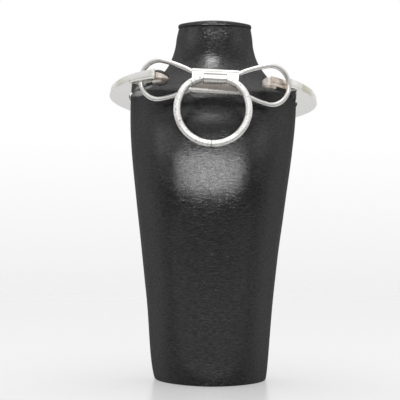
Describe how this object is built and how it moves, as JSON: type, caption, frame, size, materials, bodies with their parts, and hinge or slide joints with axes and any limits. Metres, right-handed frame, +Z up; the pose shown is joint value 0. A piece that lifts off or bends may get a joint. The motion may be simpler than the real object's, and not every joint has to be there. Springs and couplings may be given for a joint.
{
  "type": "choker on a neck bust",
  "caption": "Rigid open-fronted metal choker closed by a figure-of-eight wire bow with a hanging wire ring, displayed on a slim leatherette neck bust.",
  "frame": {"origin": "middle of the bust's flat foot, on the surface that it stands on", "axes": "+Z up along the neck, -Y to the front where the pendant ring hangs, +X to the right as the viewer sees it"},
  "size_m": [0.1714, 0.1776, 0.2986],
  "materials": {
    "leatherette": "fine horizontal grain, soft sheen",
    "silver": "worn silver plate, satin, lightly tarnished",
    "tarnished_silver": "worn silver plate, pinkish brown tarnish"
  },
  "bodies": {
    "stand": {"bust_body": "leatherette", "neck_cap": "leatherette", "collar_band": "silver", "left_stud": "tarnished_silver", "right_stud": "tarnished_silver", "bow_wire": "silver", "front_sleeve": "silver"},
    "ring": {"pendant_ring": "silver"}
  },
  "joints": [
    {"name": "ring_swing", "type": "hinge", "parent": "stand", "child": "ring", "pos_m": [0.00009, -0.0782, 0.2461], "axis": [-0.9992, 0, 0.0401], "range_deg": [0, 165]}
  ]
}
